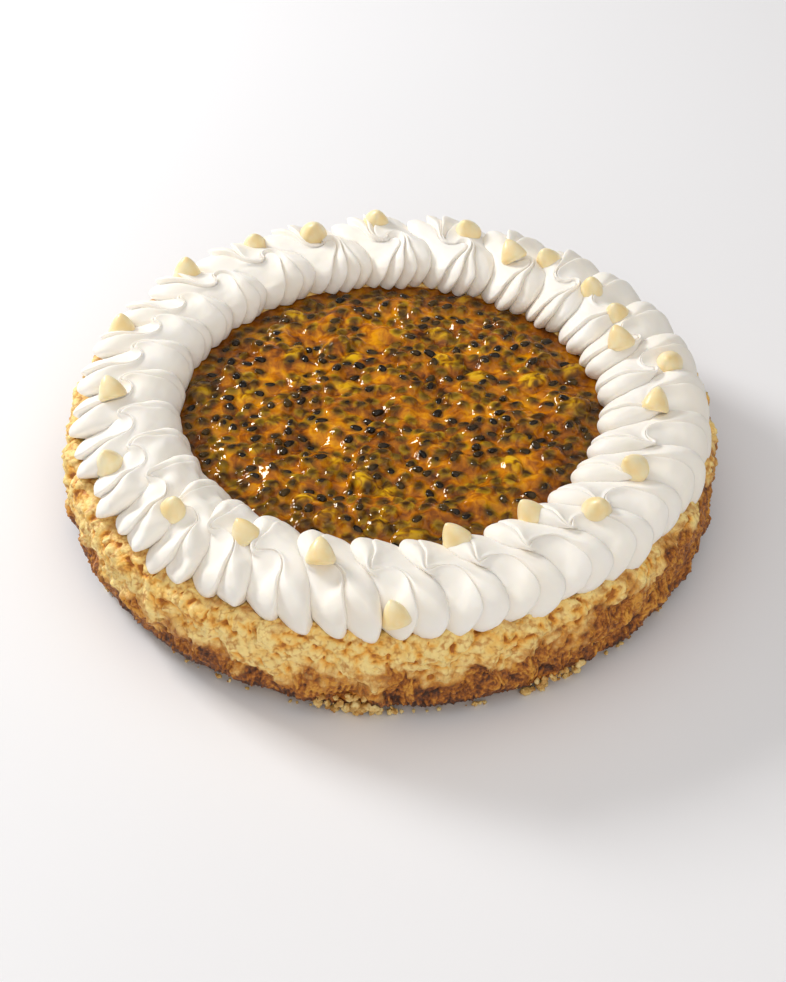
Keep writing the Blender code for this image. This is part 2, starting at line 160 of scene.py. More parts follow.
def biscuit_relief(point, angle):
    """Crumbs that stand out of the pressed edge by part of their own size."""
    crumb = noise.voronoi(point / BISCUIT_CRUMB)[0][0]
    depth = rough(point, BISCUIT_WAVE) * 0.5 * MM + (0.5 - crumb) * BISCUIT_DEPTH
    return depth, rough(point + ELSEWHERE, BISCUIT_WAVE) * 0.5 * MM


base_profile = [(0.0, 0.0, 0, 0), (BASE_MIDDLE, 0.0, 0, 0), (BASE_INNER, 0.0, 0, 0)]
for step in range(BASE_ROWS + 1):
    share = step / BASE_ROWS
    radius = BASE_FOOT + (BASE_TOP - BASE_FOOT) * share**0.7
    base_profile.append((radius, BASE_HEIGHT * share, min(1.0, 4.0 * share), 0))
base_profile += [(BASE_INNER, BASE_HEIGHT, 0, 0), (0.0, BASE_HEIGHT, 0, 0)]

# Biscuit crumb: baked ground biscuit, matt and grainy, from pale beige to toasted brown grain by grain.
biscuit, tree, shader = start_material("Baked biscuit crumb")
place = add_node(tree, "ShaderNodeTexCoord").outputs["Object"]
grain = add_node(
    tree, "ShaderNodeTexVoronoi", {"Vector": place, "Scale": 1.0 / (1.1 * MM)}, feature="F1"
)
patch = add_node(tree, "ShaderNodeTexNoise", {"Vector": place, "Scale": 1.0 / (9.0 * MM), "Detail": 4.0})
grain_value = add_node(tree, "ShaderNodeSeparateColor", {"Color": grain.outputs["Color"]})
tone = add_node(
    tree,
    "ShaderNodeMix",
    {"Factor": 0.45, "A": grain_value.outputs[0], "B": patch.outputs["Fac"]},
)
shader_colour = add_node(
    tree,
    "ShaderNodeValToRGB",
    {"Fac": tone.outputs["Result"]},
    stops=((0.1, "4A2C16"), (0.42, "7A4F28"), (0.66, "A8804A"), (0.95, "D2B57E")),
).outputs["Color"]
tree.links.new(shader_colour, shader.inputs["Base Color"])
shader.inputs["Roughness"].default_value = 0.8
dress(
    "biscuit_crumb_base",
    turned_wall("biscuit_crumb_base", base_profile, BASE_SEGMENTS, biscuit_relief),
    biscuit,
    "biscuit",
    "biscuit_base",
)


# Baked cheesecake: cream cheese, egg and sugar baked in a tin. Its wall is a pale curdled crumb of
# soft lumps where it tore off the tin, and a thin browned skin low down and on the hotter side.
CAKE_RADIUS = 125.0 * MM
CAKE_TOP = 37.7 * MM
CAKE_FOOT = BASE_HEIGHT + 0.3 * MM
CAKE_MIDDLE = 70.0 * MM
FOOT_ROLL = 5.5 * MM
FOOT_INSET = 3.9 * MM
FOOT_STEPS = 7
WALL_BELLY = 0.6 * MM
SHOULDER = 5.0 * MM
SHOULDER_INSET = 5.5 * MM
SHOULDER_STEPS = 10
RIM_ROWS = 8
RIM_SPACING = 0.8 * MM
RIM_RELIEF = 0.55
RECESS_RADIUS = 84.0 * MM
RECESS_FLOOR = 33.0 * MM
CAKE_SEGMENTS = 1240
WALL_ROWS = 46
CRAG_DEPTH = 1.9 * MM
CRAG_SIZE = 9.0 * MM
LUMP_SIZE = 4.4 * MM
LUMP_DEPTH = 2.6 * MM
CURD_SIZE = 2.3 * MM
CURD_DEPTH = 1.6 * MM
PIT_DEPTH = 1.6 * MM
PIT_SIZE = 3.2 * MM
FIBRE_DEPTH = 1.1 * MM
SHAG_DEPTH = 0.8 * MM
SKIN_LUMP_DEPTH = 1.0 * MM
SKIN_EDGE_WAVE = 12.0 * MM
SKIN_EDGE_SWING = 6.5 * MM
SKIN_RAG_WAVE = 3.5 * MM
SKIN_RAG_SWING = 3.0 * MM
SKIN_FADE_BELOW = 4.5 * MM
SKIN_FADE_ABOVE = 3.5 * MM
TOAST_BELOW = 3.0 * MM
TOAST_ABOVE = 8.0 * MM

# Height of the browned skin round the wall: (degrees, millimetres).
BROWN_LINE = (
    (-180, 17), (-165, 17), (-150, 18), (-135, 19), (-122, 17), (-110, 15), (-100, 19), (-88, 22),
    (-78, 22), (-68, 22), (-58, 25), (-48, 31), (-38, 33), (-25, 33), (-10, 31), (10, 28),
    (40, 22), (90, 18), (140, 16), (180, 15),
)


def brown_line(angle):
    """Height of the skin's upper edge at an angle, read off the list."""
    degrees = math.degrees(math.remainder(angle, math.tau))
    for (start, low), (end, high) in zip(BROWN_LINE, BROWN_LINE[1:]):
        if start <= degrees <= end:
            return (low + (high - low) * (degrees - start) / (end - start)) * MM
    return BROWN_LINE[0][1] * MM


def between(first, second, share):
    """The value a share of the way from the first to the second."""
    return first + (second - first) * share


def smooth_step(low, high, value):
    """0 below low, 1 above high and an S-curve between."""
    share = min(1.0, max(0.0, (value - low) / (high - low)))
    return share * share * (3.0 - 2.0 * share)


def above_skin(point, angle):
    """Height of a point above the skin's ragged upper edge."""
    ragged = rough(point, SKIN_EDGE_WAVE) * SKIN_EDGE_SWING
    ragged += rough(point, SKIN_RAG_WAVE) * SKIN_RAG_SWING
    return point.z - brown_line(angle) - ragged


def skin_share(point, angle):
    """1 where the wall is browned skin and 0 where it is torn crumb."""
    return 1.0 - smooth_step(-SKIN_FADE_BELOW, SKIN_FADE_ABOVE, above_skin(point, angle))


def wall_relief(point, angle):
    """Crags, curd lumps and pits of the crumb, and the finer upright streaks of the skin."""
    calm = between(0.45, 1.0, smooth_step(4.0 * MM, 12.0 * MM, point.z))
    crag = rough(point, CRAG_SIZE) * CRAG_DEPTH * calm
    slip = rough(point + ELSEWHERE, CRAG_SIZE) * CRAG_DEPTH
    skin = skin_share(point, angle)
    bent = point + Vector((rough(point, 3.0 * MM), rough(point.yzx, 3.0 * MM), 0.0)) * 0.6 * MM
    lump = noise.voronoi(bent / LUMP_SIZE)[0][0]
    curd = noise.voronoi(bent / CURD_SIZE)[0][0]
    pit = max(0.0, rough(point + Vector((0.3, 0.1, 0.5)), PIT_SIZE) - 0.45)
    crumb = (0.55 - lump) * LUMP_DEPTH + (0.5 - curd) * CURD_DEPTH - min(1.0, pit * 2.4) * PIT_DEPTH
    around = angle * CAKE_RADIUS
    streak = noise.noise(Vector((around / (1.1 * MM), point.z / (5.5 * MM), 3.0)))
    shaggy = noise.noise(Vector((around / (0.6 * MM), point.z / (1.6 * MM), 9.0)))
    fibre = streak * FIBRE_DEPTH + shaggy * SHAG_DEPTH + (0.5 - lump) * SKIN_LUMP_DEPTH
    return crag + crumb * (1.0 - skin) + fibre * skin, slip


def cake_profile():
    """The wall from the axis at the underside, up the wall, over the rim and down into the recess."""
    high = CAKE_TOP - SHOULDER
    low = CAKE_FOOT + FOOT_ROLL
    rim = CAKE_RADIUS - SHOULDER_INSET
    points = [(0.0, CAKE_FOOT, 0, 0), (CAKE_MIDDLE, CAKE_FOOT, 0, 0), (rim, CAKE_FOOT, 0, 0)]
    for step in range(FOOT_STEPS + 1):
        turn = 0.5 * math.pi * step / FOOT_STEPS
        out = math.sin(turn)
        points.append((
            CAKE_RADIUS - FOOT_INSET + FOOT_INSET * out,
            low - FOOT_ROLL * math.cos(turn),
            min(1.0, 0.25 + out),
            0.0,
        ))
    for row in range(1, WALL_ROWS):
        share = row / WALL_ROWS
        belly = WALL_BELLY * math.sin(math.pi * share)
        points.append((CAKE_RADIUS + belly, low + (high - low) * share, 1.0, 0.0))
    for step in range(SHOULDER_STEPS + 1):
        turn = 0.5 * math.pi * step / SHOULDER_STEPS
        points.append((
            rim + SHOULDER_INSET * math.cos(turn),
            high + SHOULDER * math.sin(turn),
            math.cos(turn),
            RIM_RELIEF * math.sin(turn),
        ))
    for step in range(1, RIM_ROWS + 1):
        relief = RIM_RELIEF * (1.0 - step / (RIM_ROWS + 1))
        points.append((rim - RIM_SPACING * step, CAKE_TOP, 0.0, relief))
    points.append((RECESS_RADIUS, CAKE_TOP, 0, 0))
    points += [(RECESS_RADIUS, RECESS_FLOOR, 0, 0), (0.0, RECESS_FLOOR, 0, 0)]
    return points


def bare_reach(height):
    """The wall's radius at a height before its relief, drawn in over the rounded shoulder."""
    over = min(1.0, max(0.0, (height - CAKE_TOP + SHOULDER) / SHOULDER))
    return CAKE_RADIUS - SHOULDER_INSET * (1.0 - math.sqrt(1.0 - over * over))


cake_mesh = turned_wall("baked_cheese", cake_profile(), CAKE_SEGMENTS, wall_relief)
browned = cake_mesh.attributes.new("browned", "FLOAT", "POINT")
hollow = cake_mesh.attributes.new("hollow", "FLOAT", "POINT")
toasted = cake_mesh.attributes.new("toasted", "FLOAT", "POINT")
brown_values = []
toasted_values = []
hollow_values = []
for vertex in cake_mesh.vertices:
    point = vertex.co.copy()
    angle = math.atan2(point.y, point.x)
    reach = math.hypot(point.x, point.y)
    brown_values.append(skin_share(point, angle))
    toasted_values.append(1.0 - smooth_step(-TOAST_BELOW, TOAST_ABOVE, above_skin(point, angle)))
    # Painted shade: the depth of each point in the wall's small relief, which darkens the colour in its
    # hollows. The flat top is kept out of it.
    depth = (reach - bare_reach(point.z) - rough(point, CRAG_SIZE) * CRAG_DEPTH) / (3.0 * MM)
    hollow_values.append(max(depth, 0.1) if point.z > CAKE_TOP - 1.5 * MM else depth)
browned.data.foreach_set("value", brown_values)
toasted.data.foreach_set("value", toasted_values)
hollow.data.foreach_set("value", hollow_values)

# Baked cheesecake crumb: opaque pale custard yellow with a soft sheen and golden near the rim, with painted
# shade that darkens it to orange in its hollows and between its clumps. It turns toasted gold and then
# brown, with darker fibres, towards the skin low on the wall.
cheese, tree, shader = start_material("Baked cheesecake crumb and browned skin")
place = add_node(tree, "ShaderNodeTexCoord").outputs["Object"]
skin = add_node(tree, "ShaderNodeAttribute", attribute_name="browned").outputs["Fac"]
depth = add_node(tree, "ShaderNodeAttribute", attribute_name="hollow").outputs["Fac"]
curds = add_node(tree, "ShaderNodeTexNoise", {"Vector": place, "Scale": 1.0 / (7.0 * MM), "Detail": 6.0})
specks = add_node(
    tree, "ShaderNodeTexNoise", {"Vector": place, "Scale": 1.0 / (1.6 * MM), "Detail": 3.0, "Roughness": 0.6}
)
clumps = add_node(
    tree,
    "ShaderNodeTexVoronoi",
    {"Vector": place, "Scale": 1.0 / (2.6 * MM), "Detail": 1.0, "Roughness": 0.6},
)
# Painted shade: the gaps between the clumps of the bump are darkened towards orange-brown.
crevice_shade = add_node(
    tree,
    "ShaderNodeMapRange",
    {"Value": clumps.outputs["Distance"], "From Min": 0.84, "From Max": 1.25, "To Max": 0.8},
)
# Painted shade: hollows of the relief turn the pale crumb orange and the skin dark brown.
relief_shade = add_node(
    tree, "ShaderNodeMapRange", {"Value": depth, "From Min": -0.45, "From Max": 0.55}
)
pale_tone = add_node(
    tree, "ShaderNodeMix", {"Factor": 0.35, "A": relief_shade.outputs["Result"], "B": curds.outputs["Fac"]}
)
pale_tone = add_node(
    tree, "ShaderNodeMix", {"Factor": 0.15, "A": pale_tone.outputs["Result"], "B": specks.outputs["Fac"]}
)
pale = add_node(
    tree,
    "ShaderNodeValToRGB",
    {"Fac": pale_tone.outputs["Result"]},
    stops=((0.24, "B06616"), (0.33, "F0AA3E"), (0.43, "FCCC6C"), (0.60, "FFE294")),
).outputs["Color"]
brown_tone = add_node(
    tree, "ShaderNodeMix", {"Factor": 0.4, "A": specks.outputs["Fac"], "B": relief_shade.outputs["Result"]}
)
brown = add_node(
    tree,
    "ShaderNodeValToRGB",
    {"Fac": brown_tone.outputs["Result"]},
    stops=((0.35, "421F04"), (0.45, "7E420A"), (0.56, "B66C16"), (0.69, "E0A03A")),
).outputs["Color"]
skin_mask = add_node(
    tree, "ShaderNodeMath", {0: skin, 1: specks.outputs["Fac"]}, operation="ADD"
)
skin_mask = add_node(
    tree,
    "ShaderNodeMapRange",
    {"Value": skin_mask.outputs["Value"], "From Min": 0.72, "From Max": 1.25},
)
height = add_node(tree, "ShaderNodeSeparateXYZ", {"Vector": place}).outputs["Z"]
rim = add_node(
    tree, "ShaderNodeMapRange", {"Value": height, "From Min": 29.0 * MM, "From Max": 37.0 * MM}
)
rim_tone = add_node(
    tree, "ShaderNodeMath", {0: rim.outputs["Result"], 1: curds.outputs["Fac"]}, operation="MULTIPLY"
)
rim_tone = add_node(
    tree,
    "ShaderNodeMapRange",
    {"Value": rim_tone.outputs["Value"], "From Min": 0.50, "From Max": 0.66, "To Max": 0.7},
)
with_rim = add_node(
    tree,
    "ShaderNodeMix",
    {6: pale, 7: linear("B8701E"), 0: rim_tone.outputs["Result"]},
    data_type="RGBA",
)
# The crumb colour with the painted shade in the gaps between its clumps.
torn = add_node(
    tree,
    "ShaderNodeMix",
    {6: with_rim.outputs[2], 7: linear("C27C22"), 0: crevice_shade.outputs["Result"]},
    data_type="RGBA",
)
toast = add_node(tree, "ShaderNodeAttribute", attribute_name="toasted").outputs["Fac"]
toast_patch = add_node(
    tree, "ShaderNodeMath", {0: toast, 1: specks.outputs["Fac"]}, operation="ADD"
)
toast_share = add_node(
    tree,
    "ShaderNodeMapRange",
    {"Value": toast_patch.outputs["Value"], "From Min": 0.70, "From Max": 1.35, "To Max": 0.7},
)
toasted_crumb = add_node(
    tree,
    "ShaderNodeMix",
    {6: torn.outputs[2], 7: linear("D08A30"), 0: toast_share.outputs["Result"]},
    data_type="RGBA",
)
wall_colour = add_node(
    tree,
    "ShaderNodeMix",
    {6: toasted_crumb.outputs[2], 7: brown, 0: skin_mask.outputs["Result"]},
    data_type="RGBA",
)
tree.links.new(wall_colour.outputs[2], shader.inputs["Base Color"])
shader.inputs["Roughness"].default_value = 0.55
shader.inputs["Subsurface Weight"].default_value = 0.06
shader.inputs["Subsurface Radius"].default_value = (1.0, 0.6, 0.25)
shader.inputs["Subsurface Scale"].default_value = 2.0 * MM
clump_bump = add_node(
    tree,
    "ShaderNodeBump",
    {"Height": clumps.outputs["Distance"], "Strength": 0.55, "Distance": 1.0 * MM},
    invert=True,
)
bump = add_node(
    tree,
    "ShaderNodeBump",
    {
        "Height": specks.outputs["Fac"],
        "Strength": 0.5,
        "Distance": 0.8 * MM,
        "Normal": clump_bump.outputs["Normal"],
    },
)
tree.links.new(bump.outputs["Normal"], shader.inputs["Normal"])
dress("baked_cheese_wall", cake_mesh, cheese, "baked_cheese", "cheesecake")


# Loose crumbs: flakes of the wall that broke off as the tin was opened and lie or cling at its foot.
# They are the same soft pale crumb, each a small uneven lump, strewn round a few places.
FOOT_DRAW_IN = 3.6 * MM
FOOT_DRAW_HEIGHT = 9.0 * MM
CRUMB_SCATTER = 1.9
CRUMB_LIFT = 0.02 * MM

# Each cluster: (degrees round the cake, greatest height in millimetres, count, largest in millimetres).
CRUMB_SPOTS = (
    (-99, 10, 16, 3.6), (-96, 12, 26, 4.4), (-93, 6, 22, 3.8), (-87, 3, 7, 2.2), (-66, 10, 18, 3.8),
    (-60, 9, 20, 4.2), (-118, 5, 7, 2.0), (-128, 4, 6, 1.8), (-75, 3, 7, 2.2), (-48, 4, 8, 1.8),
    (-35, 3, 4, 2.0), (-105, 2, 5, 2.0), (-150, 3, 5, 2.0), (30, 3, 5, 2.0), (95, 3, 6, 2.2),
    (150, 3, 5, 2.0),
)
crumb_draw = random.Random(31)


def crumb_ball(work, centre, size):
    """Adds one uneven rounded lump to a mesh."""
    made = bmesh.ops.create_icosphere(work, subdivisions=3, radius=1.0)
    turn = Euler([crumb_draw.uniform(0.0, math.tau) for axis in range(3)]).to_matrix()
    stretch = Vector([crumb_draw.uniform(0.55, 1.25) for axis in range(3)]) * size * 0.5
    seed = Vector([crumb_draw.uniform(0.0, 50.0) for axis in range(3)])
    for vertex in made["verts"]:
        lumpy = 1.0 + 0.45 * noise.noise(vertex.co * 1.5 + seed) + 0.22 * noise.noise(vertex.co * 3.6 + seed)
        vertex.co = centre + turn @ (vertex.co * lumpy * stretch)
        vertex.co.z = max(vertex.co.z, CRUMB_LIFT)


crumbs_work = bmesh.new()
for degrees, height_mm, count, largest in CRUMB_SPOTS:
    for number in range(count):
        angle = math.radians(degrees + crumb_draw.gauss(0.0, CRUMB_SCATTER))
        size = largest * crumb_draw.uniform(0.25, 1.0) ** 1.4 * MM
        height = max(size * 0.35, crumb_draw.uniform(0.0, height_mm) * MM)
        wall = CAKE_RADIUS - FOOT_DRAW_IN * max(0.0, 1.0 - height / FOOT_DRAW_HEIGHT) ** 1.5
        spot = Vector((wall * math.cos(angle), wall * math.sin(angle), height))
        crumb_ball(crumbs_work, spot, size)
crumbs_mesh = bpy.data.meshes.new("loose_crumbs")
crumbs_work.to_mesh(crumbs_mesh)
crumbs_work.free()

# Loose crumb: the same custard-yellow crumb without skin, paler because every side is torn.
loose, tree, shader = start_material("Torn cheesecake crumb")
place = add_node(tree, "ShaderNodeTexCoord").outputs["Object"]
mottle = add_node(tree, "ShaderNodeTexNoise", {"Vector": place, "Scale": 1.0 / (3.0 * MM), "Detail": 5.0})
colour = add_node(
    tree,
    "ShaderNodeValToRGB",
    {"Fac": mottle.outputs["Fac"]},
    stops=((0.35, "B8823A"), (0.48, "DDB366"), (0.62, "F1D896")),
).outputs["Color"]
tree.links.new(colour, shader.inputs["Base Color"])
shader.inputs["Roughness"].default_value = 0.6
dress("loose_crumbs", crumbs_mesh, loose, "baked_cheese")


# Passion fruit pulp: fresh pulp set with a little gelatine and spooned inside the cream. Each seed
# sits in its own juice sac, so the surface is a wet bed of amber lumps with seeds at all depths.
PULP_RADIUS = RECESS_RADIUS - 0.5 * MM
PULP_FLOOR = RECESS_FLOOR + 0.3 * MM
PULP_LEVEL = 37.9 * MM
PULP_HEIGHT = 2.8 * MM
PULP_SIZE = 13.0 * MM
PULP_STEPS = 272
SAC_COUNT = 540
SAC_SPACING = 4.2 * MM
SAC_REACH = 79.5 * MM
SAC_TRIES = 60000
SAC_BIG_SHARE = 0.05
SAC_SINK = 0.6 * MM
SAC_BLEND = 0.5 * MM
SAC_LENGTHS_MM = (2.9, 4.2)
SAC_SLIMNESS = (0.60, 0.80)
SAC_RISES_MM = (0.3, 1.6)
SAC_BIG_LENGTH = 1.8
SAC_BIG_RISE = 2.0
RIM_FLAT = 6.5 * MM
RIM_SLOPE = 9.0 * MM
SEED_LENGTH = 4.7 * MM
SEED_WIDTH = 3.8 * MM
seed_draw = random.Random(7)


def pulp_level(x, y):
    """The lumpy level of the set pulp, flat near the rim where the cream rests over it."""
    reach = math.hypot(x, y)
    inside = min(1.0, max(0.0, (RECESS_RADIUS - RIM_FLAT - reach) / RIM_SLOPE))
    point = Vector((x, y, 0.0))
    lumps = 0.7 + rough(point, PULP_SIZE) * 0.8 + rough(point, PULP_SIZE * 0.5) * 0.35
    return PULP_LEVEL - 0.3 * MM + inside * lumps * PULP_HEIGHT


def disc_grid(steps, radius):
    """A square grid of points stretched into a disc, even all over."""
    line = np.linspace(-1.0, 1.0, steps)
    u, v = np.meshgrid(line, line, indexing="ij")
    return u * np.sqrt(1.0 - 0.5 * v * v) * radius, v * np.sqrt(1.0 - 0.5 * u * u) * radius


grid_x, grid_y = disc_grid(PULP_STEPS, PULP_RADIUS)
grid_z = np.array([
    [
        pulp_level(x, y) + rough(Vector((x, y, 0.02)), 3.4 * MM) * 0.35 * MM
        for x, y in zip(line_x, line_y)
    ]
    for line_x, line_y in zip(grid_x, grid_y)
])

sacs = []
tries = 0
while len(sacs) < SAC_COUNT and tries < SAC_TRIES:
    tries += 1
    reach = SAC_REACH * math.sqrt(seed_draw.random())
    angle = seed_draw.uniform(0.0, math.tau)
    x, y = reach * math.cos(angle), reach * math.sin(angle)
    sparse = rough(Vector((x, y, 0.4)), 15.0 * MM) < seed_draw.uniform(-1.0, 0.1)
    clear = all(math.hypot(x - other[0], y - other[1]) > SAC_SPACING for other in sacs)
    if clear and not sparse:
        big = seed_draw.random() < SAC_BIG_SHARE
        sacs.append((
            x,
            y,
            seed_draw.uniform(0.0, math.pi),
            seed_draw.uniform(*SAC_LENGTHS_MM) * MM * (SAC_BIG_LENGTH if big else 1.0),
            seed_draw.uniform(*SAC_SLIMNESS),
            seed_draw.uniform(*SAC_RISES_MM) * MM * (SAC_BIG_RISE if big else 1.0),
            seed_draw.random(),
            big,
        ))

dark = np.zeros_like(grid_z)
amber = np.zeros_like(grid_z)
for x, y, turn, length, slim, rise, sunk, big in sacs:
    near = (abs(grid_x - x) < length * 1.3) & (abs(grid_y - y) < length * 1.3)
    along = (grid_x[near] - x) * math.cos(turn) + (grid_y[near] - y) * math.sin(turn)
    across = (grid_y[near] - y) * math.cos(turn) - (grid_x[near] - x) * math.sin(turn)
    away = (along / length) ** 2 + (across / (length * slim)) ** 2
    dome = pulp_level(x, y) - SAC_SINK + (rise + SAC_SINK) * np.sqrt(np.clip(1.0 - away, 0.0, 1.0))
    dome = np.where(away < 1.0, dome, -1.0)
    gap = np.clip(0.5 + 0.5 * (dome - grid_z[near]) / SAC_BLEND, 0.0, 1.0)
    grid_z[near] = grid_z[near] * (1.0 - gap) + dome * gap + SAC_BLEND * gap * (1.0 - gap)
    seed_away = (along / (SEED_LENGTH * 0.62)) ** 2 + (across / (SEED_WIDTH * 0.62)) ** 2
    dark[near] = np.maximum(dark[near], np.exp(-seed_away**1.6) * (0.0 if big else 0.97 - 0.25 * sunk**2))
    amber[near] = np.maximum(amber[near], np.clip(1.0 - away, 0.0, 1.0) * (0.4 + 0.6 * sunk))

pulp_points = [tuple(point) for point in np.stack([grid_x, grid_y, grid_z], -1).reshape(-1, 3)]
pulp_faces = []
for row in range(PULP_STEPS - 1):
    for spot in range(PULP_STEPS - 1):
        here = row * PULP_STEPS + spot
        pulp_faces.append((here, here + PULP_STEPS, here + PULP_STEPS + 1, here + 1))
edge = [spot for spot in range(PULP_STEPS)]
edge += [row * PULP_STEPS + PULP_STEPS - 1 for row in range(1, PULP_STEPS)]
edge += [(PULP_STEPS - 1) * PULP_STEPS + spot for spot in range(PULP_STEPS - 2, -1, -1)]
edge += [row * PULP_STEPS for row in range(PULP_STEPS - 2, 0, -1)]
below = len(pulp_points)
for spot in edge:
    pulp_points.append((pulp_points[spot][0], pulp_points[spot][1], PULP_FLOOR))
for step in range(len(edge)):
    ahead = (step + 1) % len(edge)
    pulp_faces.append((edge[step], edge[ahead], below + ahead, below + step))
pulp_points.append((0.0, 0.0, PULP_FLOOR))
for step in range(len(edge)):
    pulp_faces.append((below + step, below + (step + 1) % len(edge), len(pulp_points) - 1))
pulp_mesh = bpy.data.meshes.new("passion_fruit_pulp")
pulp_mesh.from_pydata(pulp_points, [], pulp_faces)
rest = [0.0] * (len(pulp_points) - PULP_STEPS * PULP_STEPS)
pulp_mesh.attributes.new("seed_below", "FLOAT", "POINT").data.foreach_set("value", list(dark.ravel()) + rest)
pulp_mesh.attributes.new("sac", "FLOAT", "POINT").data.foreach_set("value", list(amber.ravel()) + rest)

# Passion fruit pulp: wet clear juice and fibre, amber with yellow sacs and brown hollows, and darkened
# by painted shade towards its rim, under the cream. It is mirror-smooth, so the window breaks into sharp
# curls on it.
pulp, tree, shader = start_material("Wet passion fruit pulp")
place = add_node(tree, "ShaderNodeTexCoord").outputs["Object"]
seed_below = add_node(tree, "ShaderNodeAttribute", attribute_name="seed_below").outputs["Fac"]
sac = add_node(tree, "ShaderNodeAttribute", attribute_name="sac").outputs["Fac"]
cloud = add_node(tree, "ShaderNodeTexNoise", {"Vector": place, "Scale": 1.0 / (14.0 * MM), "Detail": 5.0})
wisps = add_node(
    tree,
    "ShaderNodeTexNoise",
    {"Vector": place, "Scale": 1.0 / (4.0 * MM), "Detail": 3.0, "Distortion": 0.8},
)
juice_tone = add_node(
    tree, "ShaderNodeMix", {"Factor": 0.5, "A": cloud.outputs["Fac"], "B": wisps.outputs["Fac"]}
)
juice = add_node(
    tree,
    "ShaderNodeValToRGB",
    {"Fac": juice_tone.outputs["Result"]},
    stops=((0.34, "482000"), (0.43, "924C00"), (0.52, "C47400"), (0.62, "E89C04")),
).outputs["Color"]
flesh = add_node(
    tree,
    "ShaderNodeValToRGB",
    {"Fac": wisps.outputs["Fac"]},
    stops=((0.36, "5A4000"), (0.47, "B08000"), (0.60, "EEC214")),
).outputs["Color"]
sac_share = add_node(
    tree, "ShaderNodeMapRange", {"Value": sac, "From Min": 0.05, "From Max": 0.55, "To Max": 0.75}
)
pulp_colour = add_node(
    tree, "ShaderNodeMix", {6: juice, 7: flesh, 0: sac_share.outputs["Result"]}, data_type="RGBA"
)
flat_place = add_node(
    tree, "ShaderNodeVectorMath", {0: place, 1: (1.0, 1.0, 0.0)}, operation="MULTIPLY"
)
from_middle = add_node(
    tree, "ShaderNodeVectorMath", {0: flat_place.outputs["Vector"]}, operation="LENGTH"
)
# Painted shade: the pulp turns dark brown from 62 mm out from the middle to its rim, where the cream hangs
# over it.
cream_edge_shade = add_node(
    tree,
    "ShaderNodeMapRange",
    {"Value": from_middle.outputs["Value"], "From Min": 62.0 * MM, "From Max": 80.0 * MM, "To Max": 0.6},
)
cream_edge_shaded_colour = add_node(
    tree,
    "ShaderNodeMix",
    {6: pulp_colour.outputs[2], 7: linear("5A2E00"), 0: cream_edge_shade.outputs["Result"]},
    data_type="RGBA",
)
stain = add_node(
    tree,
    "ShaderNodeMix",
    {6: cream_edge_shaded_colour.outputs[2], 7: linear("241004"), 0: seed_below},
    data_type="RGBA",
)
tree.links.new(stain.outputs[2], shader.inputs["Base Color"])
shader.inputs["Roughness"].default_value = 0.04
shader.inputs["IOR"].default_value = 1.42
shader.inputs["Specular IOR Level"].default_value = 0.5
shader.inputs["Specular Tint"].default_value = linear("FFF0D8")
shader.inputs["Subsurface Weight"].default_value = 0.06
shader.inputs["Subsurface Radius"].default_value = (1.0, 0.6, 0.05)
shader.inputs["Subsurface Scale"].default_value = 1.5 * MM
bump = add_node(
    tree, "ShaderNodeBump", {"Height": wisps.outputs["Fac"], "Strength": 0.28, "Distance": 0.5 * MM}
)
tree.links.new(bump.outputs["Normal"], shader.inputs["Normal"])
dress("passion_fruit_pulp", pulp_mesh, pulp, "passion_fruit", "passion_fruit_top")


# Passion fruit seeds: hard flat teardrops with a finely pitted shell, some standing out of the pulp
# and some just under its skin. They are wet, so each carries a small bright glint.
def seed_outline(count_around, count_along):
    """The points of one seed of unit length and width, pointed at one end and flattened."""
    points = [(-0.5, 0.0, 0.0)]
    for ring in range(1, count_along):
        turn = math.pi * ring / count_along
        radius = 0.5 * math.sin(turn) ** 0.8 * (1.0 - 0.28 * (0.5 - 0.5 * math.cos(turn)))
        for step in range(count_around):
            around = math.tau * step / count_around
            points.append((-0.5 * math.cos(turn), radius * math.cos(around), radius * math.sin(around)))
    points.append((0.5, 0.0, 0.0))
    faces = []
    for step in range(count_around):
        beside = (step + 1) % count_around
        faces.append((0, 1 + beside, 1 + step))
        for ring in range(count_along - 2):
            here = 1 + ring * count_around
            ahead = here + count_around
            faces.append((here + step, here + beside, ahead + beside, ahead + step))
        last = 1 + (count_along - 2) * count_around
        faces.append((last + step, last + beside, len(points) - 1))
    return points, faces


seed_points, seed_faces = seed_outline(12, 8)
all_points = []
all_faces = []
for x, y, turn, length, slim, rise, sunk, big in sacs:
    if big or sunk > 0.5 or math.hypot(x, y) > SAC_REACH - 1.0 * MM:
        continue
    size = seed_draw.uniform(0.86, 1.12)
    shape = Matrix.Diagonal((SEED_LENGTH * size, SEED_WIDTH * size, SEED_WIDTH * 0.72 * size))
    tilt = Euler((seed_draw.uniform(-0.6, 0.6), seed_draw.uniform(-0.35, 0.35), turn)).to_matrix()
    top = pulp_level(x, y) + rise
    depth = SEED_WIDTH * 0.36 * size * (0.35 + 1.1 * sunk)
    centre = Vector((x, y, top - depth))
    start = len(all_points)
    for point in seed_points:
        all_points.append(centre + tilt @ (shape @ Vector(point)))
    all_faces += [tuple(start + index for index in face) for face in seed_faces]
seeds_mesh = bpy.data.meshes.new("passion_fruit_seeds")
seeds_mesh.from_pydata(all_points, [], all_faces)

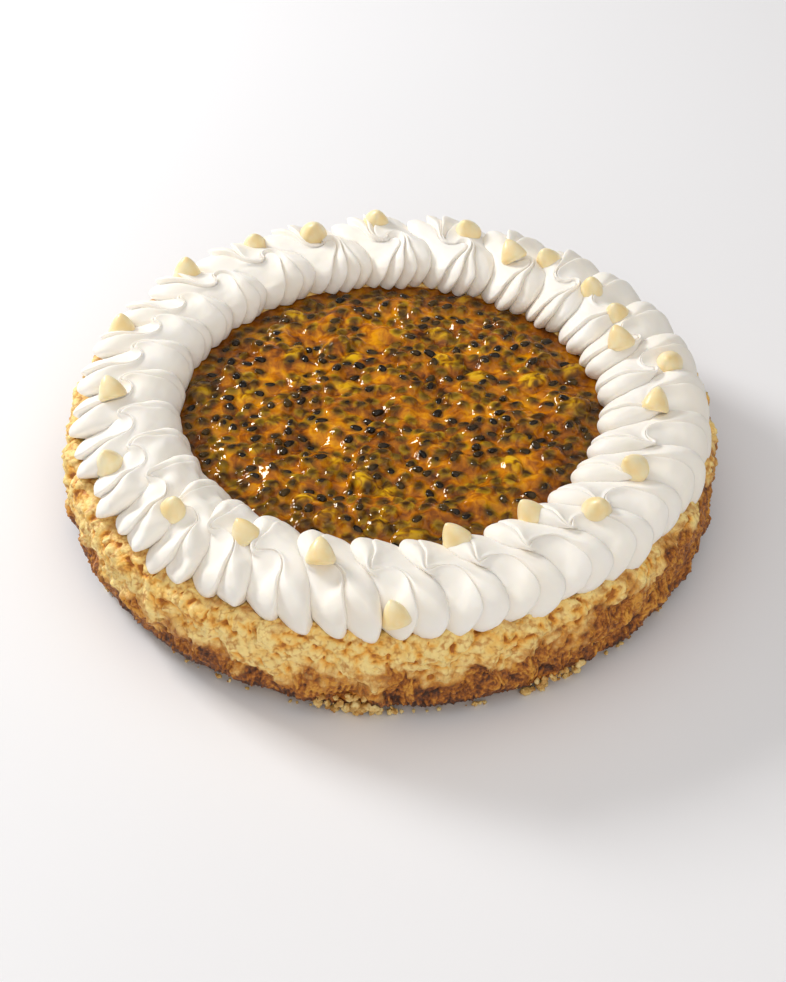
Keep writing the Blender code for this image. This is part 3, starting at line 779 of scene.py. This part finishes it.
# Seed shell: hard, near black-brown, finely pitted and wet, so it reads as dark glass beads. The pits
# are drawn about 0.7 mm wide, coarser than real ones, so that they show.
seed_shell, tree, shader = start_material("Wet passion fruit seed shell")
place = add_node(tree, "ShaderNodeTexCoord").outputs["Object"]
tint = add_node(tree, "ShaderNodeTexNoise", {"Vector": place, "Scale": 1.0 / (9.0 * MM), "Detail": 2.0})
pits = add_node(tree, "ShaderNodeTexVoronoi", {"Vector": place, "Scale": 1.0 / (0.7 * MM)}, feature="F1")
colour = add_node(
    tree,
    "ShaderNodeValToRGB",
    {"Fac": tint.outputs["Fac"]},
    stops=((0.35, "120A03"), (0.50, "241706"), (0.64, "46330D")),
).outputs["Color"]
tree.links.new(colour, shader.inputs["Base Color"])
shader.inputs["Roughness"].default_value = 0.1
shader.inputs["IOR"].default_value = 1.36
shader.inputs["Specular IOR Level"].default_value = 0.5
bump = add_node(
    tree, "ShaderNodeBump", {"Height": pits.outputs["Distance"], "Strength": 0.25, "Distance": 0.2 * MM}
)
tree.links.new(bump.outputs["Normal"], shader.inputs["Normal"])
dress("passion_fruit_seeds", seeds_mesh, seed_shell, "passion_fruit")


# Piped cream border: whipped cream forced through a large star tip. Each shell is a fan of fins that
# starts at an eye on the crest of the ring, leans round it and meets the next in a deep groove.
SEAM_LAP = 0.25 * MM
RING_RADIUS = 100.0 * MM
RING_FLOOR = 38.0 * MM
WIDTH_IN = 20.5 * MM
WIDTH_OUT = 23.2 * MM
SHELL_HEIGHT = 16.5 * MM
SHELL_EYES = (
    -146, -136, -126, -116, -103, -91, -80, -70, -59, -49, -39, -28, -17, -5, 8,
    20, 32, 44, 57, 74, 91, 106, 122, 136, 147, 157, 168, 180, 192, 203,
)
EYE_PLACE_FRONT = 0.38
EYE_PLACE_BACK = 0.52
SECTION_POINTS = 97
FOOT_TUCK = 0.34
DOME_POWER = 0.92
FIN_PITCH_FRONT = 9.5 * MM
FIN_PITCH_BACK = 7.0 * MM
FIN_PITCH_POWER = 4
FIN_STEPS = 22
FIN_DEPTH_CREST = 0.11
FIN_DEPTH_OUTER = 0.18
FIN_DEPTH_INNER_FRONT = 0.03
FIN_DEPTH_INNER_BACK = 0.20
FIN_DEPTH_GROWTH = 1.9
FIN_SKEW = 0.36
FIN_RISE = 0.75
FIN_FALL = 0.55
TOE_START = 0.6
TOE_STRAIGHTNESS = 0.8
SHELL_DEPTH_FRONT = 0.17
SHELL_DEPTH_BACK = 0.22
SHELL_SKEW_INNER = 0.2
SHELL_ROUNDNESS = 0.75
EYE_DOWN_FRONT = 0.12
EYE_HOLLOW = 0.13
EYE_HOLLOW_REACH = 0.17
SWIRL = 2.1
SWIRL_REACH = 6.5 * MM
DROOP_START = 117.5 * MM
DROOP_SPAN = 7.0 * MM
DROOP_HEIGHT = 11.0 * MM
DROOP = 3.0 * MM
PINCH = 0.92
PINCH_REACH = 0.56
BULGE_OUTER = 11.5 * MM
BULGE_INNER = 6.0 * MM
BULGE_PLACE = 0.8
TOE_LEAN = 1.0 * MM
TOE_LEAN_LONG = 13.0 * MM
TOE_LEAN_INNER = 2.0 * MM
TOE_SPREAD = 0.06
LONG_TOE = 0.06
SHORT_TOE = -0.03
LONG_ANGLE = math.radians(-108.0)
LONG_SPREAD = math.radians(24.0)
MESSY_ANGLE = math.radians(-141.0)
MESSY_SPREAD = math.radians(17.0)
cream_draw = random.Random(11)


def near_angle(angle, middle, spread):
    """1 at the middle angle, falling to 0 round the ring over the spread."""
    apart = math.remainder(angle - middle, math.tau) / spread
    return math.exp(-apart * apart)


def hump(share, peak, up_power, down_power):
    """A ridge's profile: 0 in the groove at either end and 1 at the peak between them."""
    up = math.sin(0.5 * math.pi * min(1.0, share / peak)) ** up_power
    down = math.sin(0.5 * math.pi * min(1.0, (1.0 - share) / (1.0 - peak))) ** down_power
    return min(up, down)


def back_share(angle):
    """1 at the back of the cake and 0 at the front."""
    return 0.5 + 0.5 * math.sin(angle)


def eye_place(angle):
    """Where a shell's eye lies on it: nearer its start at the front, in its middle at the back."""
    return between(EYE_PLACE_FRONT, EYE_PLACE_BACK, back_share(angle) ** 3)


class Joint:
    """The place where one shell ends and the next begins, with the ring's section there."""

    def __init__(self, angle):
        self.angle = angle
        self.back = back_share(angle)
        self.long = near_angle(angle, LONG_ANGLE, LONG_SPREAD)
        self.messy = near_angle(angle, MESSY_ANGLE, MESSY_SPREAD)
        loose = 1.0 + self.messy
        self.width_in = WIDTH_IN * (1.0 + cream_draw.uniform(-0.05, 0.05) * loose)
        self.width_out = WIDTH_OUT * (1.0 + cream_draw.uniform(-0.04, 0.04) * loose)
        self.height = SHELL_HEIGHT * (1.0 + cream_draw.uniform(-0.07, 0.07) * loose)


def ring_point(angle, outward, up, along):
    """A point measured from the middle of the ring's floor at an angle."""
    radial = Vector((math.cos(angle), math.sin(angle), 0.0))
    tangent = Vector((-math.sin(angle), math.cos(angle), 0.0))
    return radial * (RING_RADIUS + outward) + tangent * along + Vector((0.0, 0.0, RING_FLOOR + up))


def lean(down, long):
    """How far round the ring a fin runs ahead on the outer side and behind on the inner one."""
    reach = abs(down)
    swing = math.sin(math.pi * reach**BULGE_PLACE)
    if down < 0.0:
        return -TOE_LEAN_INNER * reach**1.3 - BULGE_INNER * swing
    toe = between(TOE_LEAN, TOE_LEAN_LONG, long)
    return toe * reach**1.3 + BULGE_OUTER * (1.0 - 0.5 * long) * swing


def shell_point(start, end, share, fins, toes, down):
    """A point of a shell: share runs from 0 to 1 round the ring, and down from the inner foot
    at -1 over the crest at 0 to the outer foot at 1.
    """
    turn = down * (0.5 * math.pi + FOOT_TUCK)
    foot = math.sin(FOOT_TUCK)
    across = math.sin(turn)
    rise = max(0.0, (math.cos(turn) + foot) / (1.0 + foot)) ** DOME_POWER
    back = between(start.back, end.back, share)
    from_eye = down - EYE_DOWN_FRONT * (1.0 - back)
    side = math.tanh(4.0 * from_eye)
    amid = 1.0 - abs(2.0 * share - 1.0) ** 4
    fin = min(fins - 1, int(share * fins))
    straight = TOE_STRAIGHTNESS * max(0.0, abs(down) - TOE_START) / (1.0 - TOE_START)
    ridge = hump(share * fins - fin, 0.5 + FIN_SKEW * side * (1.0 - straight), FIN_RISE, FIN_FALL)
    inner_depth = between(FIN_DEPTH_INNER_FRONT, FIN_DEPTH_INNER_BACK, back**1.8)
    foot_depth = FIN_DEPTH_OUTER if from_eye > 0.0 else inner_depth
    depth = between(FIN_DEPTH_CREST, foot_depth, min(1.0, abs(from_eye) * FIN_DEPTH_GROWTH))
    shell_skew = (FIN_SKEW if from_eye > 0.0 else SHELL_SKEW_INNER) * side * (1.0 - back)
    swell = hump(share, 0.5 + shell_skew, SHELL_ROUNDNESS, SHELL_ROUNDNESS)
    size = 1.0 - between(SHELL_DEPTH_FRONT, SHELL_DEPTH_BACK, back) * (1.0 - swell)
    size *= 1.0 - depth * (1.0 - ridge)
    size *= 1.0 - EYE_HOLLOW * amid * math.exp(-(from_eye / EYE_HOLLOW_REACH) ** 2)
    size += toes[fin] * max(0.0, down) ** 4 * ridge
    width = between(start.width_out, end.width_out, share)
    if down < 0.0:
        width = between(start.width_in, end.width_in, share)
    height = between(start.height, end.height, share)
    pinch = PINCH * (1.0 - min(1.0, abs(from_eye) / PINCH_REACH) ** 0.85) * amid
    angle = between(start.angle, end.angle, between(share, eye_place(start.angle), pinch))
    shift = -SEAM_LAP * (1.0 - 2.0 * share)
    along = lean(down, between(start.long, end.long, share)) * size + shift
    return ring_point(angle, width * across * size, height * rise * size, along)


def swirl(point, start, end, share):
    """Turns a shell's surface round its eye, most at the eye, as the tip was twisted away."""
    middle = between(start.angle, end.angle, eye_place(start.angle))
    back = between(start.back, end.back, 0.5)
    turn = EYE_DOWN_FRONT * (1.0 - back) * (0.5 * math.pi + FOOT_TUCK)
    eye = ring_point(middle, start.width_out * math.sin(turn), 0.0, 0.0)
    x, y = point.x - eye.x, point.y - eye.y
    away = math.hypot(x, y) / SWIRL_REACH
    twist = SWIRL * math.exp(-away * away) * (1.0 - abs(2.0 * share - 1.0) ** 6)
    point.x = eye.x + x * math.cos(twist) - y * math.sin(twist)
    point.y = eye.y + x * math.sin(twist) + y * math.cos(twist)
    return point


def droop(point):
    """Toes that reach past the cake's flat top hang down over its rounded rim."""
    reach = math.hypot(point.x, point.y)
    over = max(0.0, reach - DROOP_START) / DROOP_SPAN
    low = max(0.0, 1.0 - (point.z - RING_FLOOR) / DROOP_HEIGHT)
    point.z -= DROOP * over**1.6 * low
    return point


def shell_surface(name, start, end):
    """One shell's dense skin, with a fan at each end on the joint, left open underneath."""
    nearness = between(start.back, end.back, 0.5) ** FIN_PITCH_POWER
    pitch = between(FIN_PITCH_FRONT, FIN_PITCH_BACK, nearness)
    fins = max(2, round((end.angle - start.angle) * RING_RADIUS / pitch))
    long = between(start.long, end.long, 0.5)
    messy = between(start.messy, end.messy, 0.5)
    toes = []
    for fin in range(fins):
        toe = cream_draw.uniform(-1.0, 1.0) * TOE_SPREAD * (1.0 + 2.0 * messy)
        toes.append(toe + long * (LONG_TOE if fin % 2 == 0 else SHORT_TOE))
    rows = fins * FIN_STEPS + 1
    points = []
    for row in range(rows):
        for spot in range(SECTION_POINTS):
            down = 2.0 * spot / (SECTION_POINTS - 1) - 1.0
            share = row / (rows - 1)
            point = swirl(shell_point(start, end, share, fins, toes, down), start, end, share)
            wave = rough(point, 7.0 * MM) * (0.25 + 1.1 * messy) + rough(point, 2.6 * MM) * 0.10
            outward = point - ring_point(math.atan2(point.y, point.x), 0.0, 0.0, 0.0)
            point += outward.normalized() * wave * MM * min(1.0, outward.z / (3.0 * MM))
            points.append(droop(point))
    faces = []
    for row in range(rows - 1):
        for spot in range(SECTION_POINTS - 1):
            here = row * SECTION_POINTS + spot
            faces.append((here, here + SECTION_POINTS, here + SECTION_POINTS + 1, here + 1))
    points.append(ring_point(start.angle, 0.0, 0.0, -SEAM_LAP))
    points.append(ring_point(end.angle, 0.0, 0.0, SEAM_LAP))
    first, last = len(points) - 2, len(points) - 1
    final = (rows - 1) * SECTION_POINTS
    for spot in range(SECTION_POINTS - 1):
        faces.append((first, spot, spot + 1))
        faces.append((last, final + spot + 1, final + spot))
    mesh = bpy.data.meshes.new(name)
    mesh.from_pydata(points, [], faces)
    return mesh


# Whipped cream: fat and air, dense white with a faint warm tint where light soaks through it. It is
# satin smooth, with a soft sheen along the thin edges that the star tip leaves.
cream, tree, shader = start_material("Whipped cream")
place = add_node(tree, "ShaderNodeTexCoord").outputs["Object"]
body = add_node(tree, "ShaderNodeTexNoise", {"Vector": place, "Scale": 1.0 / (22.0 * MM), "Detail": 3.0})
bubbles = add_node(tree, "ShaderNodeTexNoise", {"Vector": place, "Scale": 1.0 / (0.9 * MM), "Detail": 2.0})
colour = add_node(
    tree,
    "ShaderNodeValToRGB",
    {"Fac": body.outputs["Fac"]},
    stops=((0.3, "FAF3E9"), (0.7, "FDF9F2")),
).outputs["Color"]
tree.links.new(colour, shader.inputs["Base Color"])
shader.inputs["Roughness"].default_value = 0.55
shader.inputs["Specular IOR Level"].default_value = 0.35
shader.inputs["Subsurface Weight"].default_value = 0.35
shader.inputs["Subsurface Radius"].default_value = (1.0, 0.85, 0.65)
shader.inputs["Subsurface Scale"].default_value = 2.5 * MM
bump = add_node(
    tree, "ShaderNodeBump", {"Height": bubbles.outputs["Fac"], "Strength": 0.06, "Distance": 0.3 * MM}
)
tree.links.new(bump.outputs["Normal"], shader.inputs["Normal"])

joints = []
for number, eye in enumerate(SHELL_EYES):
    before = SHELL_EYES[number - 1] - (360 if number == 0 else 0)
    place_on = eye_place(math.radians(eye))
    joints.append(Joint(math.radians(eye - place_on * (eye - before))))
for number, start in enumerate(joints):
    end = joints[(number + 1) % len(joints)]
    around = math.tau if number == len(joints) - 1 else 0.0
    end.angle += around
    name = f"cream_shell_{number + 1:02d}"
    mesh = shell_surface("piped_" + name, start, end)
    end.angle -= around
    dress("piped_" + name, mesh, cream, "cream", name)


# White chocolate drops: small tempered drops let fall from a nozzle, each with a flat foot, a rounded
# side and a soft tip. They are pushed by hand into the cream at all angles.
DROP_RADIUS = 6.1 * MM
DROP_HEIGHT = 9.6 * MM
DROP_COUNT = 23
DROP_AROUND = 40
DROP_ROWS = 26
DROP_FOOT_SHARE = 0.3
DROP_FOOT_RADIUS = 0.84
DROP_MIDDLE = 0.4
DROP_TIP_SWAY = 0.5 * MM
DROP_WELD = 0.01 * MM
drop_draw = random.Random(4)


def drop_points(seed):
    """One drop about its CAD origin: a bulging side that draws in to a tip, a little uneven."""
    points = []
    for row in range(DROP_ROWS + 1):
        share = row / DROP_ROWS
        if share < DROP_FOOT_SHARE:
            radius, height = DROP_FOOT_RADIUS * (share / DROP_FOOT_SHARE) ** 0.5, 0.0
        else:
            height = (share - DROP_FOOT_SHARE) / (1.0 - DROP_FOOT_SHARE)
            round_up = math.sin(0.5 * math.pi * min(1.0, height / 0.2))
            foot = between(DROP_FOOT_RADIUS, 1.0, round_up)
            radius = foot * 0.98 * (1.0 - height**1.9) ** 0.8 * (1.0 - 0.07 * math.sin(math.pi * height))
        sway = DROP_TIP_SWAY * height**2
        for step in range(DROP_AROUND):
            angle = math.tau * step / DROP_AROUND
            wobble = 1.0 + 0.035 * math.sin(2.0 * angle + seed) + 0.02 * math.sin(3.0 * angle + 2.0 * seed)
            points.append(Vector((
                radius * wobble * DROP_RADIUS * math.cos(angle) + sway * math.sin(seed),
                radius * wobble * DROP_RADIUS * math.sin(angle) + sway * math.cos(seed),
                (height - DROP_MIDDLE) * DROP_HEIGHT,
            )))
    return points


# White chocolate: cocoa butter, milk and sugar, tempered, so it is a buttery ivory with a satin skin.
chocolate, tree, shader = start_material("White chocolate")
place = add_node(tree, "ShaderNodeTexCoord").outputs["Object"]
milk = add_node(tree, "ShaderNodeTexNoise", {"Vector": place, "Scale": 1.0 / (6.0 * MM), "Detail": 3.0})
colour = add_node(
    tree,
    "ShaderNodeValToRGB",
    {"Fac": milk.outputs["Fac"]},
    stops=((0.3, "FCDFA2"), (0.7, "FFF0CC")),
).outputs["Color"]
tree.links.new(colour, shader.inputs["Base Color"])
shader.inputs["Roughness"].default_value = 0.33
shader.inputs["IOR"].default_value = 1.46
shader.inputs["Subsurface Weight"].default_value = 0.4
shader.inputs["Subsurface Radius"].default_value = (1.0, 0.75, 0.35)
shader.inputs["Subsurface Scale"].default_value = 2.0 * MM
bump = add_node(
    tree, "ShaderNodeBump", {"Height": milk.outputs["Fac"], "Strength": 0.1, "Distance": 0.5 * MM}
)
tree.links.new(bump.outputs["Normal"], shader.inputs["Normal"])

for number in range(DROP_COUNT):
    name = f"white_chocolate_{number + 1:02d}"
    low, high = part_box(name)
    centre = (low + high) / 2.0
    tip = drop_draw.uniform(0.15, 0.75)
    toward = drop_draw.uniform(0.0, math.tau)
    spin = drop_draw.uniform(0.0, math.tau)
    turn = Euler((tip * math.cos(toward), tip * math.sin(toward), spin)).to_matrix()
    points = [turn @ point for point in drop_points(number * 1.3)]
    middle = Vector([(min(p[i] for p in points) + max(p[i] for p in points)) / 2.0 for i in range(3)])
    points = [point - middle + centre for point in points]
    faces = []
    for row in range(DROP_ROWS):
        for step in range(DROP_AROUND):
            here, beside = row * DROP_AROUND + step, row * DROP_AROUND + (step + 1) % DROP_AROUND
            faces.append((here, beside, beside + DROP_AROUND, here + DROP_AROUND))
    mesh = bpy.data.meshes.new("drop_" + name)
    mesh.from_pydata(points, [], faces)
    work = bmesh.new()
    work.from_mesh(mesh)
    bmesh.ops.remove_doubles(work, verts=work.verts, dist=DROP_WELD)
    bmesh.ops.recalc_face_normals(work, faces=work.faces)
    work.to_mesh(mesh)
    work.free()
    dress("drop_" + name, mesh, chocolate, "white_chocolate", name)


# Studio: a plain pale matt floor just under the cake, in a pale room. A small soft window at the back
# left gives the glints, a wide ceiling light fills from above and a soft light fills from the front.
FLOOR_SIZE = 6.0
FLOOR_DROP = 0.2 * MM
floor_mesh = bpy.data.meshes.new("pale_floor")
half = FLOOR_SIZE / 2.0
floor_mesh.from_pydata(
    [(-half, -half, 0.0), (half, -half, 0.0), (half, half, 0.0), (-half, half, 0.0)], [], [(0, 1, 2, 3)]
)
floor = bpy.data.objects.new("pale_floor", floor_mesh)
floor.location.z = -FLOOR_DROP
bpy.context.scene.collection.objects.link(floor)
floor_paint, tree, shader = start_material("Matt white floor")
place = add_node(tree, "ShaderNodeTexCoord").outputs["Object"]
shade = add_node(tree, "ShaderNodeTexNoise", {"Vector": place, "Scale": 2.0, "Detail": 2.0})
colour = add_node(
    tree,
    "ShaderNodeValToRGB",
    {"Fac": shade.outputs["Fac"]},
    stops=((0.3, "F0F1F5"), (0.7, "F4F5F9")),
).outputs["Color"]
tree.links.new(colour, shader.inputs["Base Color"])
shader.inputs["Roughness"].default_value = 0.6
floor_mesh.materials.append(floor_paint)

world = bpy.data.worlds.new("Pale room")
bpy.context.scene.world = world
world.use_nodes = True
world.node_tree.nodes["Background"].inputs["Color"].default_value = linear("FBF8F5")
world.node_tree.nodes["Background"].inputs["Strength"].default_value = 0.26


def soft_light(name, place, size, power, colour):
    """A square soft light that faces the cake."""
    data = bpy.data.lights.new(name, "AREA")
    data.size = size
    data.energy = power
    data.color = linear(colour)[:3]
    light = bpy.data.objects.new(name, data)
    light.location = place
    light.rotation_euler = (Vector((0.0, 0.0, 0.03)) - Vector(place)).to_track_quat("-Z", "Y").to_euler()
    bpy.context.scene.collection.objects.link(light)


soft_light("window", (-0.85, 0.60, 0.62), 0.32, 10.5, "FFFDFA")
soft_light("ceiling", (0.0, -0.2, 2.4), 4.0, 34.0, "FFFCF8")
soft_light("front_fill", (0.2, -1.15, 0.6), 0.9, 3.8, "FFF8F0")
bpy.context.scene.view_settings.view_transform = "Standard"

# Camera: the photograph's own view, found from the outline of the cake, 786 by 982 pixels.
CAMERA_LIFT = math.radians(41.443)
CAMERA_AWAY = 0.8747
FOCAL_PIXELS = 2200.0
IMAGE_HEIGHT = 982.0
SENSOR = 36.0
TARGET_RISE = -0.6 * MM
TARGET_RIGHT = 1.0 * MM
TARGET_BACK = -1.2 * MM
camera_data = bpy.data.cameras.new("camera")
camera = bpy.data.objects.new("camera", camera_data)
bpy.context.scene.collection.objects.link(camera)
back = Vector((0.0, -math.cos(CAMERA_LIFT), math.sin(CAMERA_LIFT)))
right = Vector((1.0, 0.0, 0.0))
up = back.cross(right)
target = up * TARGET_RISE + Vector((TARGET_RIGHT, TARGET_BACK, 0.0))
camera.matrix_world = Matrix((right, up, back)).transposed().to_4x4()
camera.location = target + back * CAMERA_AWAY
camera_data.lens = FOCAL_PIXELS * SENSOR / IMAGE_HEIGHT
camera_data.clip_end = 20.0
bpy.context.scene.camera = camera
